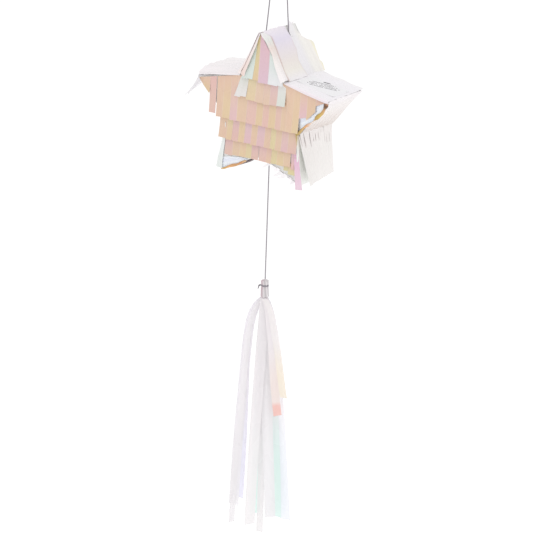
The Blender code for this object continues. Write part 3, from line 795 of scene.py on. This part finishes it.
def build_arm_films():
    front, back = -HALF_DEPTH, HALF_DEPTH

    def right_top(s, y):
        return 0.45 + 0.5 * smooth_step(y, 18, 27) + 0.25 * np.sin(s * 0.35) * smooth_step(y, 12, 22)

    def left_top(s, y):
        back_lift = smooth_step(y, -25, -12)
        return (0.5 + 6.2 * np.clip(s / 40, 0, 1.1) ** 0.8 * (0.35 + 0.65 * back_lift)
                + 0.5 * np.sin(y * 0.55 + s * 0.1) * smooth_step(s, 12, 34))

    def right_lower(s, y):
        ripple = 0.5 * np.sin(y * 0.8) + 0.3 * np.sin(y * 1.7 + 1)
        return 0.6 + (1.2 + ripple) * smooth_step(40 - s, 12, 38) + 0.5 * smooth_step(y, 14, 25)

    def left_lower(s, y):
        return 0.5 + 0.7 * smooth_step(-s, -16, -2) + 0.25 * np.sin(y * 0.6)

    film_sheet("right_arm_top_sheet", ["right_arm_top_film"], "N0", "T1",
               (front - 1.7, back + 2.4), (0.4, 0.9), right_top,
               shades((-26, (238, 216, 224)), (-24.4, (246, 238, 243)), (-22.5, (247, 243, 247)),
                      (-8, (246, 243, 247)), (20, (247, 244, 248)), (27, (249, 246, 247)), axis=1),
               curve_through((0, 1.4), (20, 2.3), (40, 2.2)), rag=0.25)
    film_sheet("left_arm_top_sheet", ["left_arm_top_film"], "N4", "T4",
               (front - 1.2, back + 1.5), (0.6, 0.8), left_top,
               shades((-26, (236, 226, 228)), (-22, (248, 242, 244)), (10, (250, 245, 246)),
                      (26, (251, 247, 247)), axis=1),
               curve_through((0, 1.4), (39, 1.0)), rag=1.2, rests="side_band_left")
    # this sheet's tint is greyer than the rest of the side film and darkest next to N1: painted shade
    # under the arm
    film_sheet("right_arm_lower_sheet", ["right_arm_lower_film"], "N1", "T1",
               (front + 0.6, back + 1.2), (-0.4, 0.9), right_lower,
               shades((-4, (216, 205, 198)), (12, (224, 214, 210)), (26, (230, 223, 221)),
                      (40, (232, 226, 229))), rag=0.8)
    film_sheet("left_arm_lower_sheet", ["left_arm_lower_film"], "N3", "T4",
               (front + 0.3, back + 1.2), (2.2, -0.6), left_lower, MILK, rag=0.8,
               rests="side_band_left")


def wisp(index):
    """One thin cut strip below the right arm: its front edge leans and its back edge tapers."""
    place = -HALF_DEPTH + 0.5 + index * 4.3 + random.uniform(-0.6, 0.6)
    wide, reach = random.uniform(5.4, 7.0), random.uniform(4, 15)
    lift, lean = random.uniform(0.0, 0.8), random.uniform(-0.5, 2.0)

    def front_edge(s):
        return place + lean * (s + 3) / reach

    def back_edge(s):
        return front_edge(s) + wide * np.sqrt(np.clip(1 - (s + 3) / (reach + 3), 0.03, 1))

    def height(s, y):
        return (1.15 + 0.45 * lift * np.clip(s / 14, 0, 1.4)
                + (1.35 + 2.6 * np.clip(s, 0, 30) / 20) * smooth_step(-y, -20, 24))
    return wall_film("N1", "T2", (place, place + wide, front_edge, back_edge), (-3.0, reach - WALL_LENGTH),
                     height, (240, 234, 232), rows=20, columns=6)


def tatter(start, wide, reach, lean):
    """A small torn tongue off the front edge under the right leg."""
    down, across = shares(14, 5)
    off = reach * down - 0.6 + 0.5 * np.sin(down * 4 + start)
    y = -HALF_DEPTH - 0.9 - 0.7 * down + 3.0 * (start % 3) * down
    return grid(off_wall("N2", "T2", start + lean * down + wide * across * np.sqrt(1.02 - down),
                         off, y), linear((250, 246, 248)))


def build_leg_films():
    front, back = -HALF_DEPTH, HALF_DEPTH

    def under_panel(s, y):
        return 0.5 + 0.9 * smooth_step(-y, 14, 24)

    def panel_height(s, y):
        front_share = np.clip((HALF_DEPTH - y) / (2 * HALF_DEPTH), 0, 1)
        return 0.9 + (1.0 + 8.4 * (np.clip(s, 0, 42) / 41) ** 1.15) * front_share ** 1.2

    def inner_height(s, y):
        return 0.5 + 0.5 * smooth_step(-y, 6, 22) * smooth_step(s, 6, 22) + 0.2 * np.sin(s * 0.5) ** 2

    def left_height(s, y):
        return 0.6 + (1.0 + 3.4 * smooth_step(s, 8, 40)) * smooth_step(-y, 8, 24)

    film_sheet("right_leg_edge_film", [], "N1", "T2", (front - 1.3, -6), (0.4, 0.2), under_panel,
               shades((0, (230, 210, 186)), (6, (240, 234, 226)), (14, (242, 245, 239)),
                      (40, (247, 249, 246))),
               curve_through((0, 0.8), (12, 2.2), (40, 1.8)))
    film_sheet("right_leg_panel", ["right_leg_outer_film"], "N1", "T2", (front - 0.8, back + 0.8),
               (2.0, -0.3), panel_height,
               shades((6, (243, 238, 236)), (18, (238, 234, 231)), (40, (242, 238, 235))),
               rag=0.3, held="hung")
    film_piece("right_arm_wisps", [wisp(index) for index in range(11)])
    film_sheet("right_leg_inner_sheet", ["right_leg_inner_film"], "N2", "T2",
               (front + 0.4, back + 1.0), (2.0, -1.2), inner_height,
               shades((0, (246, 240, 243)), (18, (248, 240, 243)), (40, (243, 240, 242))),
               rag=0.8, held="hung")
    tatters = [tatter(*sizes) for sizes in (
        (9, 3.4, 7.5, -3.5), (13, 4.2, 5.5, -2), (17.5, 3.6, 9.5, -7), (21, 4.5, 8.0, -4),
        (25, 4.0, 9.5, -6), (29, 4.5, 6.0, -1), (33, 3.6, 5.0, 0))]
    film_piece("right_leg_tatters", tatters)
    film_sheet("left_leg_outer_sheet", ["left_leg_outer_film"], "N3", "T3",
               (front - 1.2, back + 0.8), (2.0, -0.6), left_height,
               shades((-25, (226, 232, 228)), (-24, (240, 242, 240)), (-15, MILK), (25, MILK), axis=1),
               curve_through((0, 1.2), (14, 3.2), (39, 6.6)), rag=0.4, rests="side_band_left")


def build_trapdoor_film():
    """The film under the trapdoor, cut away round the pull cord's knot."""
    reach, hole = 31.8, 4.0
    inside = HALF_DEPTH - 1.3
    pale = shades((0, (248, 240, 244)), (20, (250, 238, 242)), (40, (248, 242, 246)))

    def height(s, y):
        return 0.5 + 1.6 * smooth_step(-y, 12, 21) * smooth_step(s, 8, 16) * smooth_step(38 - s, 0, 10)
    parts = [wall_film("T3", "N2", (-inside, inside), (3.0, reach - hole - WALL_LENGTH),
                       height, pale, rag=0.2)]
    for across in ((-inside, -hole), (hole, inside)):
        parts.append(wall_film("T3", "N2", across, (reach - hole, -2.0), height, pale, rows=8,
                               columns=16))
    film_piece("trapdoor_sheet", parts, ["trapdoor_film"], body="trapdoor")


def build_tip_strip():
    """A torn strip that hangs off the left tip: it bows outwards, narrows and ends in points."""
    down, across = shares(22, 13)
    tear = np.array([0.0, 0.05, 0.22, 0.08, -0.04, 0.1, 0.26, 0.12, 0.0, 0.06, 0.18, 0.05, 0.14])
    fall = down * (1 - 0.8 * tear[None, :] * down)
    x = -60.6 - 14.2 * fall ** 1.15 + 1.0 * np.sin(across * 5) * down + 1.6 * across * down
    z = 20.8 - 19.5 * fall - 0.5 * across - 1.2 * np.sin(fall * 3.1) + 2.6 * across * down
    y = -23.6 + 15.0 * across * (1 - 0.28 * down)
    tint = linear((232, 230, 233)) * (0.95 + 0.05 * np.cos(across * 9))[..., None]
    piece = grid(on_star(x, y, z), tint)
    film_piece("left_tip_ribbon", [piece], ["left_tip_strip"])


# ---------------------------------------------------------------- mirror-bright film at two tips
def edge_film(start, end, along, width, bulge):
    """A band on the front face along one wall's edge; its width inside the edge and its bulge
    past it are functions of s."""
    s = np.linspace(*along, 40)[:, None]
    share = np.linspace(0, 1, 12)[None, :]
    off = bulge(s) - (width(s) + bulge(s)) * share
    out = 0.25 + 0.55 * np.sin(share * 9 + s * 0.4) ** 2 * 0.4
    # painted reflections: the silver film is painted in bluish and white bands across its width
    bright, glint = (246, 250, 255), (226, 236, 252)
    reflection_bands = shades((0, glint), (0.35, bright), (0.6, (232, 236, 250)), (1, bright), axis=1)
    return grid(off_wall(start, end, s, off, -(HALF_DEPTH + out)), reflection_bands(s, share + 0 * s))


def rolled_edge(name, start, end, bulge, thick, tint, out=0.9):
    """The film's cut edge rolled up: a tube whose radius, given by pairs of s and radius, and whose
    place wander along the wall's edge."""
    s = np.linspace(thick[0][0], thick[-1][0], 80)
    shift = bulge(s) + 0.2 + 0.25 * np.sin(s * 0.45)
    path = off_wall(start, end, s, shift, -(HALF_DEPTH + out + 0.2 * np.sin(s * 0.3)))
    angle = np.linspace(0, 2 * math.pi, 14, endpoint=False)[None, :]
    radius = curve_through(*thick)(s)[:, None] * MM * (1 + 0.12 * np.cos(2 * angle + s[:, None] * 0.5))
    radius[[0, -1]] = 0.0
    roll = grid(tube_points(path, radius, angle), shades(*tint)(s, s)[:, None], wrap=(False, True))
    make_piece(name, [roll], CURLED_FILM, "star", closed=True)


def build_tip_films():
    arm_bulge = curve_through((-2, 0.1), (8, 0.8), (16, 1.8), (24, 2.8), (30, 2.7), (36, 1.3), (40, 0.3))
    leg_bulge = curve_through((0, 0.1), (12, 0.7), (28, 0.2))
    arm = edge_film("N1", "T1", (0.6, 40.4), curve_through(
        (0, 5.4), (8, 9.4), (16, 6.0), (24, 4.0), (30, 6.4), (36, 5.4), (40.6, 1.0)), arm_bulge)
    leg = edge_film("T3", "N2", (1.2, 27.5), curve_through(
        (1, 1.2), (3, 8.6), (10, 7.4), (20, 4.4), (27.5, 1.0)), leg_bulge)
    for place, film in (("arm", arm), ("leg", leg)):
        film_piece(f"{place}_tip_sheet", [film], [f"front_{place}_tip_film"], material=TIP_FILM)
    rolled_edge("arm_rolled_edge", "N1", "T1", arm_bulge,
                [(-1.5, 0.6), (2, 1.5), (5, 1.2), (9, 0.8), (14, 1.1), (18, 0.45), (21, 0.5),
                 (24, 1.5), (30, 1.5), (34, 0.9), (37, 1.8), (39.6, 1.0)],
                [(-1.5, (196, 170, 110)), (2, (190, 160, 96)), (6, (206, 172, 112)),
                 (12, (232, 180, 132)), (18, (244, 226, 214)), (22, (188, 150, 84)),
                 (28, (214, 184, 96)), (33, (214, 170, 120)), (35.5, (122, 88, 56)),
                 (37, (104, 72, 52)), (39.6, (206, 150, 112))])
    rolled_edge("leg_rolled_edge", "T3", "N2", leg_bulge,
                [(0.4, 0.5), (4, 0.8), (9, 1.05), (16, 1.15), (22, 0.95), (27.0, 0.4)],
                [(0, (236, 214, 190)), (4, (214, 176, 104)), (9, (228, 172, 120)),
                 (16, (214, 160, 112)), (22, (206, 150, 104)), (27, (232, 200, 150))])
    rolled_edge("right_notch_curl", "N1", "T2", lambda s: 0.1 + 0 * s,
                [(-2.0, 0.5), (1, 0.7), (5, 0.5), (9.5, 0.2)],
                [(-2, (184, 156, 96)), (3, (196, 170, 116)), (9, (226, 206, 176))], out=1.5)


# ---------------------------------------------------------------- sticker
def build_sticker():
    """A flat paper rectangle on the right arm's top film, its corners very slightly raised."""
    s = np.linspace(4.0, 38.0, 30)[:, None]
    y = np.linspace(-13.0, 9.0, 20)[None, :]
    u, v = (s - 21) / 17, (y + 2) / 11
    off = 0.50 + 0.3 * np.abs(u * v) ** 4
    uv = np.stack(np.broadcast_arrays((s - 4) / 34, (y + 13) / 22), -1)
    part = grid(off_wall("N0", "T1", s, off, y), linear((246, 246, 247)), uv)
    piece = make_piece("paper_label", [part], STICKER_PAPER, "star",
                       ["label_sticker"], FILM_THICKNESS / 2)


# ---------------------------------------------------------------- tassel
TASSEL_STRIPS = [
    # across and down at the end (mm), how much of the spread is gained at once, width, twist,
    # tint at the top, tint at the end, end slant; the nearest strip comes first
    (19.0, 97, 0.2, 5.6, -0.2, (252, 248, 248), (253, 243, 228), 1.0),
    (14.2, 113, 0.2, 6.6, 0.15, (250, 245, 247), (249, 236, 232), -1.6),
    (-6.4, 210, 0.0, 8.6, -0.15, (244, 240, 242), (247, 244, 245), -1.8),
    (10.0, 204, 0.1, 8.8, -0.15, (245, 242, 244), (248, 246, 248), -1.0),
    (2.1, 218, 0.0, 5.4, 0.1, (246, 242, 244), (249, 246, 247), 1.0),
    (16.4, 205, 0.2, 8.2, 0.2, (248, 246, 248), (234, 252, 247), 1.4),
    (24.0, 208, 0.2, 8.6, 0.2, (252, 250, 253), (248, 250, 255), 1.0),
    (-20.6, 213, 0.56, 4.8, -0.1, (252, 249, 251), (246, 243, 245), -1.6),
    (-20.0, 198, 0.56, 8.0, 0.1, (252, 249, 253), (251, 249, 251), 2.6),
    (20.6, 204, 0.2, 6.8, -0.25, (250, 247, 249), (251, 252, 255), -1.0),
    (-2.4, 207, 0.0, 8.2, 0.1, (240, 236, 238), (230, 252, 246), -1.4),
    (-15.0, 194, 0.85, 6.4, 0.2, (248, 245, 250), (244, 242, 254), 2.4),
]
STRIP_TOP, STRIP_PITCH, LONGEST = 14.6, 0.7, 203.4
PINK_ENDED = TASSEL_STRIPS[1]


def tassel_strip(pivot, index, spec):
    """A ribbon of film. One share of its distance from the tassel's axis is gained within the first
    tenth of its length and the rest evenly down it; it swings a little from side to side, and
    turns slowly about its own line."""
    across_end, down_end, early, width, twist, tint_top, tint_end, slant = spec
    rows, columns = 60, 7
    t = np.linspace(0, 1, rows)[:, None]
    u = np.linspace(-0.5, 0.5, columns)[None, :]
    down = down_end - STRIP_TOP
    spread = early * (1 - np.exp(-t / 0.06)) + (1 - early) * t
    layer = (index - (len(TASSEL_STRIPS) - 1) / 2) * STRIP_PITCH
    centre = across_end * spread + 0.8 * np.sin(t * 5 + index) * t
    depth = layer * (1 + 1.9 * np.sqrt(t * down / LONGEST)) + 0.12 * np.sin(t * 9 + 2 * index) * t
    turn = twist * np.sin(t * 3.2 + index * 0.7) * t ** 0.7 * 0.8
    wide = width * (0.7 + 0.3 * np.minimum(1, 2.2 * np.sqrt(t)))
    side = centre + u * wide * np.cos(turn)
    back = depth + u * wide * np.sin(turn) * 0.35 + 0.28 * (2 * u) ** 2 * np.sin(t * 4 + index)
    z = -STRIP_TOP - down * t - slant * u * t ** 6
    x = side * math.cos(TASSEL_YAW) - back * math.sin(TASSEL_YAW)
    y = side * math.sin(TASSEL_YAW) + back * math.cos(TASSEL_YAW)
    tint = mix(linear(tint_top), linear(tint_end), smooth_step(t + 0 * u, 0.35, 0.8))
    if spec is PINK_ENDED:
        tip = smooth_step(t * down + 0 * u, down - 10.5, down - 9.5)
        tint = mix(tint, linear((250, 204, 196)), tip)
    return grid(pivot + np.stack([x, y, z], -1) * MM, tint * random.uniform(0.97, 1.02))


def tassel_head(pivot):
    """The rolled top of the film: a narrow cylinder with soft pleats down it, gathered in at the
    tie and closed above it by a rounded, folded crown."""
    profile = np.array([(0.0, -0.5), (0.5, -0.35), (0.85, 0.0), (0.97, -0.3), (0.99, -1.6), (0.93, -3.4),
                        (0.86, -4.2), (0.93, -5.2), (1.0, -7.0), (1.04, -10.0), (1.08, -13.0),
                        (0.9, -14.2), (0.0, -14.4)])
    travelled = np.linspace(0, len(profile) - 1, 60)
    radius = 3.1 * np.interp(travelled, np.arange(len(profile)), profile[:, 0])[:, None]
    z = np.interp(travelled, np.arange(len(profile)), profile[:, 1])[:, None]
    angle = np.linspace(0, 2 * math.pi, 56, endpoint=False)[None, :]
    pleat = 1 + (0.07 * np.sin(7 * angle + 0.2 * z) + 0.03 * np.sin(15 * angle)) * np.clip(radius, 0, 1)
    points = np.stack([radius * pleat * np.cos(angle), radius * pleat * np.sin(angle), z + 0 * angle], -1)
    # the side turned away from the tassel's yaw is darker and mauve-pink: partly the film's own
    # mauve-pink, partly painted shade
    mauve_and_shade = smooth_step(-np.cos(angle - TASSEL_YAW) + 0 * z, 0.2, 0.95)
    tint = mix(linear((232, 226, 228)), linear((222, 198, 206)), mauve_and_shade)
    # painted shade and highlight: the tint darkens in the pleats' hollows and lightens on their ridges
    return grid(pivot + points * MM, tint * (0.86 + 0.14 * np.sin(7 * angle + 0.2 * z))[..., None],
                wrap=(False, True))


def build_tassel():
    low, high = node_box("tassel_head")
    pivot = np.array([(low[0] + high[0]) / 2, 0.0, high[2]])
    strips = [tassel_strip(pivot, index, spec) for index, spec in enumerate(TASSEL_STRIPS)]
    head = make_piece("tassel_roll", [tassel_head(pivot)], TASSEL_ROLL, "tassel",
                      ["tassel_head"], closed=True)
    names = [f"tassel_strip_{index + 1:02d}" for index in range(len(TASSEL_STRIPS))]
    piece = make_piece("tassel_ribbons", strips, TASSEL_FILM, "tassel", names,
                       FILM_THICKNESS)
    wide, high = len(TASSEL_STRIPS) * TASSEL_CUT * MM, 0.204

    t = np.linspace(0, 1, 150)
    turns = 2.6 * 2 * math.pi * t + math.pi + TASSEL_YAW
    ring = pivot + np.stack([2.85 * np.cos(turns), 2.85 * np.sin(turns), -3.6 - 1.2 * t], -1) * MM
    knot = sum(node_box("tassel_tie_knot")) / 2
    knot[:2] += 0.2 * (pivot[:2] - knot[:2])
    wrap = twisted_tube(smooth_route(np.vstack([ring, knot]), 160), 0.0003, plies=2, sides=10)
    thread_piece("tassel_binding", [wrap], "tassel", "tassel_wrap")
    tails = []
    # the knot's two loose tails, dimmed with dark=0.7 as painted shade
    for lean, length in ((-0.5, 3.2), (0.45, 2.4)):
        route = np.array([(0, 0, 0), (-0.6, -0.2, -0.5 * length), (-0.6 + lean, -0.3, -length)]) * MM
        tails.append(twisted_tube(smooth_route(knot + route, 24), 0.0003, plies=2, sides=8, dark=0.7))
    thread_piece("tie_knot", [knot_tube(knot, 0.0014, 0.0004, turn=0.8), *tails], "tassel",
                 "tassel_tie_knot")


# ---------------------------------------------------------------- assembly
build_camera()
build_light()
build_floor()
FILM_SHIMMER, PAPER_FIBRE = film_shimmer_group(), fibre_group()
FRINGE_FILM = film_material("peach_fringe_film", 0.05, 0.10, 0.25)
# the glow of the side film and the tassel film is painted light
SIDE_FILM = film_material("milky_side_film", 0.03, 0.05, 0.45, glow=0.04)
TIP_FILM = film_material("silver_tip_film", 0.02, 0.1, 0.5, metallic=0.25)
CURLED_FILM = film_material("gold_curled_film", 0.04, 0.25, 0.6, metallic=0.3)
TASSEL_FILM = film_material("tassel_ribbon_film", 0.03, 0.04, 0.15, alpha=0.68, glow=0.068)
TASSEL_ROLL = film_material("tassel_roll_film", 0.03, 0.2, 0.6)
WHITE_CARD = paper_material("white_lined_card", (240, 239, 237), 0.12, 0.3)
STICKER_PAPER = sticker_material()
SILVER_THREAD = cord_material()

build_hanging_cord()
build_pull_cord()
build_fringe()
build_right_slope()
build_left_slope()
build_arm_films()
build_leg_films()
build_trapdoor_film()
build_tip_strip()
build_tip_films()
build_sticker()
build_tassel()
for card in ("front_panel", "back_panel", "side_band_left", "side_band_right", "trapdoor_flap"):
    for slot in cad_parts[card].material_slots:
        slot.material = WHITE_CARD
